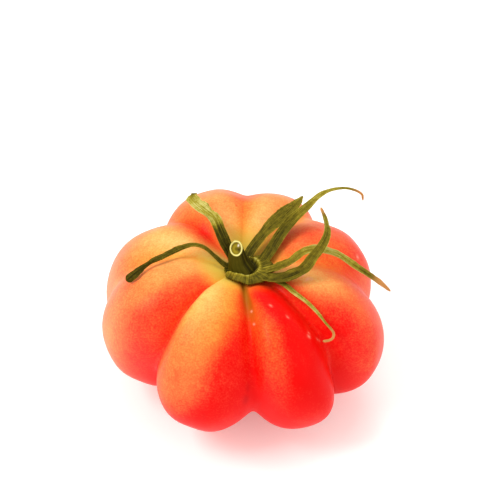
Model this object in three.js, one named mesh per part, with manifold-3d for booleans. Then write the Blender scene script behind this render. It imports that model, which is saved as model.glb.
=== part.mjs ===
// A ribbed tomato as picked: the fruit, the green calyx on top of it and the cut stub of its stem.
// Millimetres, +Z up, the fruit standing on its blossom end. Angles are azimuths about the stem axis,
// in degrees from +X towards +Y. The front of the tomato faces -Y.
import * as THREE from "three";
import { mergeVertices } from "three/addons/utils/BufferGeometryUtils.js";
import Module from "manifold-3d";

// Driving dimensions of the fruit.
// Each lobe runs from its own groove round to the next one, and its crest is where its ridge lies, as
// a share of its width. Grooves and crests have two places each, on the shoulder and on the side. The
// groove's depth is how far its valley lies inside the ridges at the widest height, and a low sharpness
// rounds that valley off. The reach is how far the lobe's ridge stands from the stem axis. The rise is
// how high its shoulder is against the others, and the sag is how far its widest part stands above the
// others'.
const LOBES = [
  {
    name: "front right",
    groove: [-83, -83],
    crest: [0.27, 0.63],
    depth: 10.6,
    sharpness: 4,
    reach: 51.5,
    rise: 0.91,
    sag: -0.5,
  },
  {
    name: "right",
    groove: [-42.5, -42.5],
    crest: [0.33, 0.33],
    depth: 14.7,
    sharpness: 3,
    reach: 51.9,
    rise: 0.93,
    sag: -0.3,
  },
  {
    name: "back right",
    groove: [1.5, 1.5],
    crest: [0.5, 0.5],
    depth: 7.8,
    sharpness: 5,
    reach: 48.7,
    rise: 0.96,
    sag: 1,
  },
  {
    name: "back",
    groove: [49.5, 49.5],
    crest: [0.5, 0.5],
    depth: 6.6,
    sharpness: 7,
    reach: 50.6,
    rise: 1.02,
    sag: 1.6,
  },
  {
    name: "back left",
    groove: [87, 87],
    crest: [0.42, 0.32],
    depth: 3.6,
    sharpness: 5,
    reach: 50.2,
    rise: 1.05,
    sag: 2.9,
  },
  {
    name: "left back",
    groove: [135, 130],
    crest: [0.6, 0.51],
    depth: 8,
    sharpness: 7,
    reach: 49.1,
    rise: 0.97,
    sag: -0.5,
  },
  {
    name: "left",
    groove: [180, 180],
    crest: [0.45, 0.46],
    depth: 3.8,
    sharpness: 4,
    reach: 48.5,
    rise: 0.99,
    sag: 1.7,
  },
  {
    name: "front left",
    groove: [232, 223],
    crest: [0.22, 0.48],
    depth: 12.4,
    sharpness: 4,
    reach: 49.6,
    rise: 1,
    sag: 0.6,
  },
];
const STEM_AXIS = [-1.8, -1.05]; // from the middle of the whole tomato's outline to the stem axis
const EQUATOR_HEIGHT = 27.6; // the widest part above the surface that the fruit stands on
const CROWN = 32.6; // the equator to the crown, were there no stem cavity
const KEEL = 31.1; // the equator to the blossom end, were it not dimpled or flattened
const CAVITY_DEPTH = 12.5; // how far the stem cavity sinks the crown
const CAVITY_SPREAD = 0.36; // its width, as a share of the reach
const DIMPLE_DEPTH = 4.5; // the blossom end's dimple
const DIMPLE_SPREAD = 0.3;
const REACH_POWER = 0.98; // 1 makes the side profile an ellipse, and less makes it fuller
const HEIGHT_POWER = 0.95;
const LOBE_POWER = 2.3; // 2 makes a lobe a parabola between its grooves, and more flattens its ridge
const SHOULDER_GROOVE = 0.5; // a groove's depth on the shoulder, as a share of that at the equator
const BLOSSOM_GROOVE = 0.9; // and near the blossom end
const SHOULDER_SHARPNESS = 2.8;
const LOBE_REACH = 1.2; // how fast a lobe's own dimensions give way to its neighbours'
const CROWD = 22; // degrees over which the depths of neighbouring grooves blend
// Stretches over which the shape changes, as t runs from 0 at the stem to 1 at the blossom end.
const BENDING = [0.25, 0.6]; // grooves and crests, from the shoulder to the side
const SHARPENING = [0.1, 0.55];
const DEEPENING = [0.08, 0.48];
const SHALLOWING = [0.5, 0.9];
const GROOVE_START = [0.05, 0.55]; // where a groove leaves the stem, as a share of the reach

// Driving dimensions of the calyx: a thick ring with seven dry sepals.
const CLEARANCE = 0.35; // between pieces that touch
const RING_CENTRE = [2.9, -4.3];
const RING_RADIUS = 8.3;
const RING_THICKNESS = 1.7;
const RING_EDGE = 0.5; // its thickness at the rim
const SEAT_HEIGHT = 49.9; // the flat place in the ring that the stem stands on
const SEAT_RADIUS = 4.9;
const SEAT_SLOPE = 1.3; // the width of the step from the seat up to the lip
const SEAT_FLOOR = 0.3; // the least thickness of the ring
const RIM_POWER = 10; // how late the ring thins towards its rim
const TIP_SHARE = 0.7; // a sepal's last section against its full one
// A sepal's midrib passes through its points, measured from the stem axis and up from the base. Its
// widths stand at even steps from the root to the tip. Its roll turns the blade about the midrib, in
// degrees at the root and at the tip, and its cup is how far the edges stand above the midrib, as a
// share of the width.
const SEPALS = [
  {
    name: "left",
    points: [
      [-3, -1, 49.4],
      [-5, -2, 50.2],
      [-8.5, 0, 52.5],
      [-12, 1.5, 55],
      [-16, 1.5, 56.3],
      [-20.5, -0.5, 56.2],
      [-25.5, -3.5, 55.7],
      [-30.5, -6, 54.5],
      [-34.5, -8.5, 52.5],
      [-37.5, -10, 50.3],
    ],
    widths: [2.4, 1.6, 1.3, 1.4, 1.8, 2.1, 1.9, 1.6, 2.4, 3.2],
    thickness: 1,
    roll: [-20, -50],
    cup: 0.12,
  },
  {
    name: "upper left",
    points: [
      [-1.5, 1, 48.8],
      [-3, 2, 50.2],
      [-5, 4, 54],
      [-7, 7.5, 57.4],
      [-9, 11, 59.8],
      [-12, 13.5, 61],
      [-15, 17, 61.3],
      [-16.5, 21, 61],
      [-15.5, 23.5, 60.6],
    ],
    widths: [3.8, 4, 4.1, 3.9, 4.3, 4.5, 4.2, 2.6],
    thickness: 1.1,
    roll: [0, -20],
    cup: 0.18,
  },
  {
    name: "upper right",
    points: [
      [1.5, 0.5, 48.8],
      [2.2, 2.4, 49.8],
      [5.2, 5.8, 52.8],
      [10, 10.2, 56.2],
      [15.2, 14, 58.5],
      [18.6, 18, 59.5],
      [21.5, 23.5, 59.5],
    ],
    widths: [3.6, 3.6, 3.6, 5.2, 6.4, 3.6, 1],
    thickness: 0.9,
    roll: [10, 0],
    cup: 0.2,
  },
  {
    name: "long upper right",
    points: [
      [5, -2, 48.9],
      [7, -0.9, 49.8],
      [10.4, 3, 52.3],
      [13.9, 7.3, 56],
      [17.5, 11, 58.8],
      [22, 15, 60.8],
      [26.5, 20, 62],
      [30.5, 23, 62.3],
      [35.5, 25, 61.8],
      [39.5, 25.5, 60.5],
      [42, 25, 59],
      [42.5, 24, 57],
    ],
    widths: [4.4, 4, 4, 3.8, 3, 2, 1.2, 0.9, 0.9],
    thickness: 0.9,
    roll: [0, 35],
    cup: 0.22,
  },
  {
    name: "hooked",
    points: [
      [5, -7, 50.4],
      [8, -9.5, 51.2],
      [12.5, -10.5, 51.6],
      [16.5, -11.5, 53.6],
      [20.5, -11.5, 56.5],
      [23.5, -9, 59.3],
      [26.5, -5.5, 61.5],
      [28.5, 0, 62.7],
      [28, 7, 63.5],
      [27, 12.5, 63.5],
    ],
    widths: [3.4, 4.2, 4.6, 3.8, 3.1, 2.7, 1.9, 1],
    thickness: 0.9,
    roll: [0, 40],
    cup: 0.22,
  },
  {
    name: "long right",
    points: [
      [4.5, -5.5, 49.6],
      [7, -6, 50.6],
      [11.5, -6.5, 52.6],
      [16.5, -6.5, 55.5],
      [20.5, -4.5, 57.8],
      [25, -3.5, 58.3],
      [31.5, -3.5, 56.5],
      [38, -4.5, 52],
      [45, -5.5, 47],
      [50.5, -6.5, 42.5],
    ],
    widths: [3.4, 3.3, 3.1, 3.2, 2.8, 2.6, 2.3, 1],
    thickness: 0.9,
    roll: [0, 20],
    cup: 0.22,
  },
  {
    name: "thread",
    points: [
      [8.5, -8, 50.6],
      [10.5, -9.5, 51],
      [14.5, -13, 51.4],
      [18, -17, 51.2],
      [21.5, -20, 50.4],
      [25, -23, 48.4],
      [27.5, -25, 46],
      [30, -27, 43.7],
      [30, -28.5, 42.6],
      [28.5, -30, 42.8],
      [26.5, -31.5, 44],
    ],
    widths: [3, 2.4, 1.9, 1.6, 1.3, 0.9, 0.9, 0.9],
    thickness: 0.9,
    roll: [0, 0],
    cup: 0.12,
  },
];

// Driving dimensions of the stem stub: its outline at four heights, each an oval across and along the
// lean, and the slanting cut that ends it.
const STEM_RINGS = [
  { at: [0.3, -3.2, 0], across: 4.4, along: 4.2 },
  { at: [0.1, -3, 0.9], across: 3.9, along: 3.8 },
  { at: [-0.9, -2.4, 3.2], across: 3.2, along: 3.2 },
  { at: [-1.35, -1.4, 7], across: 2.2, along: 2.8 },
];
const CUT_SLANT = 35; // degrees that the cut face leans to the front
const PITH_SHARE = 0.74; // the pith inside the pale rim, as a share of the cut face
const PITH_DEPTH = 0.6;

// How finely the surfaces are divided.
const COLUMNS_PER_LOBE = 12;
const ROWS = 34;
const SEPAL_RINGS = 18;
const SEPAL_SIDES = 8;
const RING_SIDES = 40;
const RING_STEPS = [0.3, 0.55, 0.78, 0.94]; // shares of the ring's radius
const STEM_SIDES = 20;

const radians = THREE.MathUtils.degToRad;
const lerp = THREE.MathUtils.lerp;
const smoothstep = THREE.MathUtils.smoothstep;
const turn = (degrees) => THREE.MathUtils.euclideanModulo(degrees + 180, 360) - 180;

const wasm = await Module();
wasm.setup();

// Where each lobe lies at t: its groove, its width and the angle from its groove to its crest.
function layout(t) {
  const bend = smoothstep(t, ...BENDING);
  const grooves = LOBES.map((lobe) => lerp(...lobe.groove, bend));
  return LOBES.map((lobe, index) => {
    const next = grooves[(index + 1) % LOBES.length];
    const width = THREE.MathUtils.euclideanModulo(next - grooves[index], 360);
    return { groove: grooves[index], width, toCrest: width * lerp(...lobe.crest, bend) };
  });
}

// What the lobes make of one azimuth: how far into a groove it is (0 on a ridge, nearly 1 in a
// valley), the groove's depth there, and the other dimensions blended from the lobes on either side.
function ribbing(azimuth, t) {
  const places = layout(t).map(({ groove, width, toCrest }) => {
    const off = turn(azimuth - groove - toCrest);
    const share = off < 0 ? -off / toCrest : off / (width - toCrest);
    const nearness = Math.exp(-((turn(azimuth - groove) / CROWD) ** 2));
    return { share, nearness, weight: Math.exp(-LOBE_REACH * share ** 2) };
  });
  const blend = (dimension, kind) => {
    const total = places.reduce((sum, place) => sum + place[kind], 0);
    return LOBES.reduce((sum, lobe, i) => sum + lobe[dimension] * places[i][kind], 0) / total;
  };
  const sideSharpness = blend("sharpness", "nearness");
  const sharpness = lerp(SHOULDER_SHARPNESS, sideSharpness, smoothstep(t, ...SHARPENING));
  const nearest = places.reduce(
    (sum, place) => sum + Math.exp(-sharpness * place.share ** LOBE_POWER),
    0,
  );
  return {
    valley: Math.max(0, -Math.log(nearest) / sharpness),
    depth: blend("depth", "nearness"),
    reach: blend("reach", "weight"),
    rise: blend("rise", "weight"),
    sag: blend("sag", "weight"),
  };
}

// The ridge line's height above the equator, where sine and cosine belong to the angle from the stem
// round the profile to the blossom end.
function ridgeHeight(sine, cosine, rise, sag) {
  const share = sine ** REACH_POWER;
  const lift = sag * sine ** 2;
  if (cosine > 0) {
    const sink = (CAVITY_DEPTH + CROWN * (rise - 1)) * Math.exp(-((share / CAVITY_SPREAD) ** 2));
    return CROWN * rise * cosine ** HEIGHT_POWER - sink + lift;
  }
  const dimple = DIMPLE_DEPTH * Math.exp(-((share / DIMPLE_SPREAD) ** 2));
  return -KEEL * (-cosine) ** HEIGHT_POWER + dimple + lift;
}

// A point of the skin. t runs from 0 at the stem to 1 at the blossom end.
function skinPoint(azimuth, t) {
  const { valley, depth, reach, rise, sag } = ribbing(azimuth, t);
  const sine = Math.sin(Math.PI * t);
  const cosine = Math.cos(Math.PI * t);
  const share = sine ** REACH_POWER;
  const halfHeight = cosine > 0 ? CROWN * rise : KEEL;
  const fade =
    t < 0.5
      ? lerp(SHOULDER_GROOVE, 1, smoothstep(t, ...DEEPENING))
      : lerp(1, BLOSSOM_GROOVE, smoothstep(t, ...SHALLOWING));
  const sunk = depth * valley * fade * smoothstep(share, ...GROOVE_START);
  const out = new THREE.Vector2(sine, (cosine * reach) / halfHeight).normalize();
  const radius = reach * share - sunk * out.x;
  const height = ridgeHeight(sine, cosine, rise, sag) - sunk * out.y + EQUATOR_HEIGHT;
  return new THREE.Vector3(
    STEM_AXIS[0] + radius * Math.cos(radians(azimuth)),
    STEM_AXIS[1] + radius * Math.sin(radians(azimuth)),
    Math.max(0, height), // the lobes' undersides are pressed flat where the fruit rests
  );
}

// The height of the ridge surface over a place near the stem. The true skin is never above it.
function cavityHeight(x, y) {
  const azimuth = THREE.MathUtils.radToDeg(Math.atan2(y, x));
  const { reach, rise, sag } = ribbing(azimuth, 0);
  const sine = (Math.hypot(x, y) / reach) ** (1 / REACH_POWER);
  return ridgeHeight(sine, Math.sqrt(1 - sine ** 2), rise, sag) + EQUATOR_HEIGHT;
}

// A closed body from rings of points that run from its first pole to its last, each ring counter-
// clockwise as seen from the last pole.
function bodyFromRings(firstPole, rings, lastPole) {
  const sides = rings[0].length;
  const points = [firstPole, ...rings.flat(), lastPole];
  const last = points.length - 1;
  const index = [];
  for (let j = 0; j < sides; j++) {
    const k = (j + 1) % sides;
    index.push(0, 1 + k, 1 + j);
    for (let i = 0; i < rings.length - 1; i++) {
      const a = 1 + i * sides + j;
      const b = 1 + i * sides + k;
      index.push(a, b, b + sides, a, b + sides, a + sides);
    }
    const low = 1 + (rings.length - 1) * sides;
    index.push(low + j, low + k, last);
  }
  const geometry = new THREE.BufferGeometry().setFromPoints(points);
  geometry.setIndex(index);
  return geometry;
}

function fruitGeometry() {
  const columns = Array.from({ length: COLUMNS_PER_LOBE }, (_, i) => i / COLUMNS_PER_LOBE);
  const rings = [];
  for (let row = ROWS - 1; row > 0; row--) {
    const t = row / ROWS;
    rings.push(
      layout(t).flatMap(({ groove, width }) =>
        columns.map((column) => skinPoint(groove + width * column, t)),
      ),
    );
  }
  return bodyFromRings(skinPoint(0, 1), rings, skinPoint(0, 0));
}

// The ring of the calyx: a shallow cup that follows the cavity underneath, with a seat for the stem
// and a lip round it.
function ringGeometry() {
  const [middleX, middleY] = RING_CENTRE;
  const stem = STEM_RINGS[0].at;
  const place = (share, j, side) => {
    const around = (2 * Math.PI * j) / RING_SIDES;
    const x = middleX + RING_RADIUS * share * Math.cos(around);
    const y = middleY + RING_RADIUS * share * Math.sin(around);
    const under = cavityHeight(x, y) + CLEARANCE;
    const fromStem = Math.hypot(x - stem[0], y - stem[1]);
    const lip = smoothstep(fromStem, SEAT_RADIUS, SEAT_RADIUS + SEAT_SLOPE);
    const top = Math.max(under + SEAT_FLOOR, lerp(SEAT_HEIGHT, under + RING_THICKNESS, lip));
    const height = side === "under" ? under : lerp(top, under + RING_EDGE, share ** RIM_POWER);
    return new THREE.Vector3(STEM_AXIS[0] + x, STEM_AXIS[1] + y, height);
  };
  const ring = (share, side) => Array.from({ length: RING_SIDES }, (_, j) => place(share, j, side));
  const rings = [
    ...RING_STEPS.map((share) => ring(share, "under")),
    ring(1, "under"),
    ring(1, "top"),
    ...RING_STEPS.toReversed().map((share) => ring(share, "top")),
  ];
  return bodyFromRings(place(0, 0, "under"), rings, place(0, 0, "top"));
}

// A sepal: an oval section, bent into a channel, carried along the midrib's curve.
function sepalGeometry({ points, widths, thickness, roll, cup }) {
  const offset = new THREE.Vector3(STEM_AXIS[0], STEM_AXIS[1], 0);
  const midrib = new THREE.CatmullRomCurve3(
    points.map((point) => new THREE.Vector3(...point).add(offset)),
    false,
    "centripetal",
  );
  const width = new THREE.CatmullRomCurve3(
    widths.map((value, i) => new THREE.Vector3(i, value, 0)),
  );
  const up = new THREE.Vector3(0, 0, 1);
  const rings = [];
  for (let i = 0; i <= SEPAL_RINGS; i++) {
    const s = i / SEPAL_RINGS;
    const centre = midrib.getPointAt(s);
    const along = midrib.getTangentAt(s);
    const across = new THREE.Vector3().crossVectors(up, along).normalize();
    across.applyAxisAngle(along, radians(lerp(roll[0], roll[1], s)));
    const above = new THREE.Vector3().crossVectors(along, across);
    const taper = i === SEPAL_RINGS ? TIP_SHARE : 1;
    const halfWidth = (width.getPoint(s).y / 2) * taper;
    rings.push(
      Array.from({ length: SEPAL_SIDES }, (_, j) => {
        const angle = (2 * Math.PI * j) / SEPAL_SIDES;
        const rise = cup * 2 * halfWidth * Math.cos(angle) ** 2;
        return centre
          .clone()
          .addScaledVector(across, halfWidth * Math.cos(angle))
          .addScaledVector(above, rise + (thickness / 2) * taper * Math.sin(angle));
      }),
    );
  }
  return bodyFromRings(midrib.getPointAt(0), rings, midrib.getPointAt(1));
}

// The stem stub: oval rings from its foot to the slanting cut, then the rim and the sunk pith. Grown
// by the clearance, it is the room that the calyx leaves for it.
function stemGeometry(growth = 0) {
  const foot = SEAT_HEIGHT + CLEARANCE - growth;
  const top = STEM_RINGS.at(-1);
  const outline = ({ at, across, along }, slant, sunk) =>
    Array.from({ length: STEM_SIDES }, (_, j) => {
      const angle = (2 * Math.PI * j) / STEM_SIDES;
      const forward = (along + growth) * Math.sin(angle);
      return new THREE.Vector3(
        STEM_AXIS[0] + at[0] + (across + growth) * Math.cos(angle),
        STEM_AXIS[1] + at[1] + forward * Math.cos(slant) + sunk * Math.sin(slant),
        foot + at[2] + forward * Math.sin(slant) - sunk * Math.cos(slant),
      );
    });
  const slant = radians(CUT_SLANT);
  const pith = { at: top.at, across: top.across * PITH_SHARE, along: top.along * PITH_SHARE };
  const rings = STEM_RINGS.map((ring, i) =>
    outline(ring, (slant * i) / (STEM_RINGS.length - 1), 0),
  );
  rings.push(outline(pith, slant, 0));
  rings.push(outline(pith, slant, PITH_DEPTH));
  const middle = (points) =>
    points.reduce((sum, point) => sum.add(point), new THREE.Vector3()).divideScalar(points.length);
  return bodyFromRings(middle(rings[0]), rings, middle(rings.at(-1)));
}

function solidOf(geometry) {
  geometry.deleteAttribute("normal");
  geometry.deleteAttribute("uv");
  const merged = mergeVertices(geometry, 1e-4);
  return new wasm.Manifold(
    new wasm.Mesh({
      numProp: 3,
      vertProperties: merged.attributes.position.array,
      triVerts: new Uint32Array(merged.index.array),
    }),
  );
}

// Bodies that grew as one piece, joined into one geometry, less the room that another piece needs.
function grownTogether(geometries, room) {
  const whole = geometries
    .map(solidOf)
    .reduce((a, b) => a.add(b))
    .subtract(solidOf(room));
  const { vertProperties, triVerts } = whole.getMesh();
  const geometry = new THREE.BufferGeometry();
  geometry.setAttribute("position", new THREE.BufferAttribute(vertProperties, 3));
  geometry.setIndex(new THREE.BufferAttribute(triVerts, 1));
  return geometry;
}

function piece(name, geometry, colour, roughness) {
  geometry.computeVertexNormals();
  const material = new THREE.MeshStandardMaterial({ color: colour, roughness, metalness: 0 });
  const mesh = new THREE.Mesh(geometry, material);
  mesh.name = name;
  return mesh;
}

const tomato = new THREE.Group();
tomato.add(piece("fruit", fruitGeometry(), "#ee4a22", 0.4));
const calyxGeometry = grownTogether(
  [ringGeometry(), ...SEPALS.map(sepalGeometry)],
  stemGeometry(CLEARANCE),
);
tomato.add(piece("calyx", calyxGeometry, "#6f7a24", 0.8));
tomato.add(piece("stem", stemGeometry(), "#5f6620", 0.75));

export default tomato;
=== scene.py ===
import bpy
import numpy as np
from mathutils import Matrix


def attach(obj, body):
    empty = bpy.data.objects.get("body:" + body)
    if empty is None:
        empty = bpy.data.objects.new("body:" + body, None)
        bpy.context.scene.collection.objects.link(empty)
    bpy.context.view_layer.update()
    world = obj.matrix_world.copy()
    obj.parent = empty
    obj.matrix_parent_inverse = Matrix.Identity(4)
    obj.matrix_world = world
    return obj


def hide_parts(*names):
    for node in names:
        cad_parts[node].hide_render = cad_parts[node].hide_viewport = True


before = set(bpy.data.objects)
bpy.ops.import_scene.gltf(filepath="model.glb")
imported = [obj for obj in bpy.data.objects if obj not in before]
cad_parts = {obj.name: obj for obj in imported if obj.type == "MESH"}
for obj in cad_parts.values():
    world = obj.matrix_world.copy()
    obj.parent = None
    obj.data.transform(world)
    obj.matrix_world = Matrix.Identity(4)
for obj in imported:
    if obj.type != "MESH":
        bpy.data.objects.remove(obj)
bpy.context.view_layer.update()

# The fruit: one ripe berry grown in eight fused lobes, a smooth thin skin over soft flesh, red at the
# foot and paler up to the stalk. It rests on the flat undersides of its lobes, and the stalk's cavity
# and the blossom end's dimple are parts of the same skin. Sizes are in millimetres and degrees.

MM = 0.001
STEM_AXIS = np.array([-1.8, -1.05])  # from the middle of the whole tomato's outline
EQUATOR_HEIGHT = 27.6
CROWN, KEEL = 32.6, 31.1  # from the equator up to the crown and down to the blossom end
CAVITY_DEPTH, CAVITY_SPREAD = 12.5, 0.36
DIMPLE_DEPTH, DIMPLE_SPREAD = 4.5, 0.3
REACH_POWER, HEIGHT_POWER = 0.98, 0.95  # 1 makes the side profile an ellipse, and less a fuller one
LOBE_POWER, LOBE_REACH, CROWD = 2.3, 1.2, 22.0
SHOULDER_GROOVE, BLOSSOM_GROOVE = 0.5, 0.9  # a groove's depth there, as a share of the equator's
SHOULDER_SHARPNESS = 2.8

# Stretches of t over which the shape changes, and of the reach over which a groove leaves the stalk.
BENDING, SHARPENING = (0.25, 0.6), (0.1, 0.55)
DEEPENING, SHALLOWING = (0.08, 0.48), (0.5, 0.9)
GROOVE_START = (0.05, 0.55)

# Each lobe starts at its groove and runs counterclockwise to the next one. A crest is where the
# lobe's ridge lies, as a share of its width. Grooves and crests bend from a high to a low place.
LOBES = np.array(
    [  # high and low groove, depth, sharpness, reach, rise, high and low crest, sag
        (-83.0, -83.0, 10.6, 4.0, 51.5, 0.91, 0.27, 0.63, -0.5),  # front right
        (-42.5, -42.5, 14.7, 3.0, 51.9, 0.93, 0.33, 0.33, -0.3),  # right
        (1.5, 1.5, 7.8, 5.0, 48.7, 0.96, 0.50, 0.50, 1.0),  # back right
        (49.5, 49.5, 6.6, 7.0, 50.6, 1.02, 0.50, 0.50, 1.6),  # back
        (87.0, 87.0, 3.6, 5.0, 50.2, 1.05, 0.42, 0.32, 2.9),  # back left
        (135.0, 130.0, 8.0, 7.0, 49.1, 0.97, 0.60, 0.51, -0.5),  # left back
        (180.0, 180.0, 3.8, 4.0, 48.5, 0.99, 0.45, 0.46, 1.7),  # left
        (232.0, 223.0, 12.4, 4.0, 49.6, 1.00, 0.22, 0.48, 0.6),  # front left
    ]
)
HIGH_GROOVES, LOW_GROOVES, DEPTHS, SHARPNESSES, REACHES, RISES, HIGH_CRESTS, LOW_CRESTS, SAGS = LOBES.T


def turn(degrees):
    """An angle brought between -180 and 180 degrees."""
    return np.mod(degrees + 180, 360) - 180


def near(angle, middle, half_width):
    """1 in the middle, falling off to both sides by exp(-(offset / half width) ** 2), in degrees."""
    return np.exp(-((turn(angle - middle) / half_width) ** 2))


def smooth(x, low=0.0, high=1.0):
    """0 below low, 1 above high, and 3x^2 - 2x^3 of the share between them."""
    x = np.clip((x - low) / (high - low), 0, 1)
    return x * x * (3 - 2 * x)


def layout(t):
    """Each groove's azimuth at t, its lobe's width and the angle from the groove to the crest. They
    bend from their high to their low values."""
    bend = smooth(t, *BENDING)[..., None]
    grooves = HIGH_GROOVES + (LOW_GROOVES - HIGH_GROOVES) * bend
    widths = np.mod(np.roll(grooves, -1, axis=-1) - grooves, 360)
    return grooves, widths, widths * (HIGH_CRESTS + (LOW_CRESTS - HIGH_CRESTS) * bend)


def pull(azimuth, t):
    """What the lobes make of a place: its valley, from 0 on a crest to nearly 1 in a groove, and the
    pull of each groove and of each lobe on it. The valley is the soft minimum of share ** LOBE_POWER
    over all lobes, share being the angle from a lobe's crest over that from crest to groove. A lobe
    pulls by exp(-LOBE_REACH * share ** 2) and a groove by its nearness."""
    grooves, widths, before = layout(t)
    off = turn(azimuth[..., None] - grooves - before)
    share = np.where(off < 0, -off / before, off / (widths - before))
    crowd = near(azimuth[..., None], grooves, CROWD)
    crowd /= crowd.sum(-1, keepdims=True)
    side = crowd @ SHARPNESSES
    sharpness = SHOULDER_SHARPNESS + (side - SHOULDER_SHARPNESS) * smooth(t, *SHARPENING)
    nearest = np.exp(-sharpness[..., None] * share**LOBE_POWER).sum(-1)
    valley = np.maximum(-np.log(nearest) / sharpness, 0)
    weight = np.exp(-LOBE_REACH * share**2)
    weight /= weight.sum(-1, keepdims=True)
    return valley, crowd, weight


def ribbing(azimuth, t):
    """A place's valley, and the lobes' dimensions blended by their pull on it."""
    valley, crowd, weight = pull(azimuth, t)
    return valley, crowd @ DEPTHS, weight @ REACHES, weight @ RISES, weight @ SAGS


def ridge_height(sine, cosine, rise, sag):
    """The crest line's height above the equator: a fuller ellipse, less a Gaussian well for the
    stalk's cavity at the top and one for the dimple at the bottom, plus the lobe's own sag."""
    share = sine**REACH_POWER
    body = np.where(cosine > 0, CROWN * rise, -KEEL) * np.abs(cosine) ** HEIGHT_POWER
    sink = (CAVITY_DEPTH + CROWN * (rise - 1)) * np.exp(-((share / CAVITY_SPREAD) ** 2))
    dimple = DIMPLE_DEPTH * np.exp(-((share / DIMPLE_SPREAD) ** 2))
    return body - np.where(cosine > 0, sink, -dimple) + sag * sine**2


def skin_point(azimuth, t):
    """A point of the skin, with t from 0 at the stalk to 1 at the blossom end: the crest line's
    profile, pushed inwards along its normal by the groove's depth times the valley."""
    valley, depth, reach, rise, sag = ribbing(azimuth, t)
    sine, cosine = np.sin(np.pi * t), np.cos(np.pi * t)
    share = sine**REACH_POWER
    half = np.where(cosine > 0, CROWN * rise, KEEL)
    shoulder = SHOULDER_GROOVE + (1 - SHOULDER_GROOVE) * smooth(t, *DEEPENING)
    blossom = 1 + (BLOSSOM_GROOVE - 1) * smooth(t, *SHALLOWING)
    sunk = depth * valley * np.where(t < 0.5, shoulder, blossom) * smooth(share, *GROOVE_START)
    out = np.stack([sine, cosine * reach / half])
    out = out / np.hypot(*out)
    radius = reach * share - sunk * out[0]
    height = ridge_height(sine, cosine, rise, sag) - sunk * out[1] + EQUATOR_HEIGHT
    angle = np.radians(azimuth)
    x = STEM_AXIS[0] + radius * np.cos(angle)
    y = STEM_AXIS[1] + radius * np.sin(angle)
    return np.stack([x, y, height], -1)


def grid_normals(grid):
    """Unit normals of a grid whose rows run down and whose columns run counterclockwise and close:
    the cross product of the differences along the two."""
    down = np.gradient(grid, axis=0)
    along = (np.roll(grid, -1, axis=1) - np.roll(grid, 1, axis=1)) / 2
    normal = np.cross(down, along)
    return normal / np.maximum(np.linalg.norm(normal, axis=-1, keepdims=True), 1e-9)


def closed_skin(name, grid, first, last, **fields):
    """A mesh object from rows of points that close round, between two poles. Rows run down from the
    first pole and columns counterclockwise, so that faces point outwards. Each field holds one value
    per grid point, and becomes a point attribute."""
    rows, sides = grid.shape[:2]
    points = np.concatenate([[first], grid.reshape(-1, 3), [last]]) * MM
    column = np.arange(sides)
    beside = (column + 1) % sides
    upper = 1 + sides * np.arange(rows - 1)[:, None]
    lower = upper + sides
    quads = np.stack([upper + column, lower + column, lower + beside, upper + beside], -1)
    top = np.stack([0 * column, 1 + column, 1 + beside], -1)
    foot = 1 + (rows - 1) * sides
    bottom = np.stack([foot + beside, foot + column, 0 * column + foot + sides], -1)
    loops = np.concatenate([quads.ravel(), top.ravel(), bottom.ravel()])
    corners = np.repeat([4, 3], [quads.size // 4, 2 * sides])
    starts = np.cumsum(corners) - corners
    mesh = bpy.data.meshes.new(name)
    mesh.vertices.add(len(points))
    mesh.vertices.foreach_set("co", points.ravel())
    mesh.loops.add(len(loops))
    mesh.loops.foreach_set("vertex_index", loops.astype(np.int32))
    mesh.polygons.add(len(corners))
    mesh.polygons.foreach_set("loop_start", starts.astype(np.int32))
    mesh.polygons.foreach_set("use_smooth", np.ones(len(corners), bool))
    for label, values in fields.items():
        with_poles = np.concatenate([[values[0].mean()], values.ravel(), [values[-1].mean()]])
        attribute = mesh.attributes.new(label, "FLOAT", "POINT")
        attribute.data.foreach_set("value", with_poles.astype(np.float32))
    mesh.update(calc_edges=True)
    piece = bpy.data.objects.new(name, mesh)
    bpy.context.scene.collection.objects.link(piece)
    return piece


# Columns crowd together towards the grooves, where the skin turns fastest.
COLUMNS_PER_LOBE, ROWS, CROWDING = 60, 198, 0.6
step = np.arange(COLUMNS_PER_LOBE) / COLUMNS_PER_LOBE
crowded = step - CROWDING * np.sin(2 * np.pi * step) / (2 * np.pi)
t = np.repeat(np.arange(1, ROWS + 1)[:, None] / (ROWS + 1), len(LOBES) * COLUMNS_PER_LOBE, axis=1)
grooves, widths, _ = layout(t[:, 0])
azimuth = (grooves[..., None] + widths[..., None] * crowded).reshape(t.shape)
skin_grid = skin_point(azimuth, t)
normals = grid_normals(skin_grid)

# Slow swells of a fraction of a millimetre keep the lobes from looking too even.
SWELLS = [(34, 0.22), (27, 0.18), (21, 0.14), (16, 0.1), (12, 0.06), (9, 0.04)]  # length, height
random = np.random.default_rng(11)
relief = np.zeros_like(t)
for wavelength, height in SWELLS:
    direction = random.normal(size=3)
    direction /= np.linalg.norm(direction)
    phase = random.uniform(0, 2 * np.pi)
    relief += height * np.sin(skin_grid @ direction * 2 * np.pi / wavelength + phase)

# Creases are shallow furrows on the shoulders, where one lobe's skin folded against the next. They
# set in quickly and fade out over a longer stretch.
CREASES = [  # azimuth, from t, to t, half width in degrees, depth
    (-83.0, 0.05, 0.19, 2.4, 0.28),
    (-128.0, 0.05, 0.2, 1.6, 0.25),
    (135.0, 0.06, 0.24, 1.5, 0.35),
    (87.0, 0.05, 0.2, 1.6, 0.1),
]
CREASE_EASE = 0.03
POLE_EASE = (0.02, 0.3)  # all relief dies out towards both poles
for middle, start, stop, half_width, depth in CREASES:
    sets_in = smooth(t, start - CREASE_EASE, start + CREASE_EASE)
    fades_out = 1 - smooth(t, stop - 2 * CREASE_EASE, stop + CREASE_EASE)
    relief -= depth * sets_in * fades_out * near(azimuth, middle, half_width)
relief *= smooth(np.sin(np.pi * t), *POLE_EASE)
skin_grid = skin_grid + relief[..., None] * normals
skin_grid[..., 2] = np.maximum(skin_grid[..., 2], 0)

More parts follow.
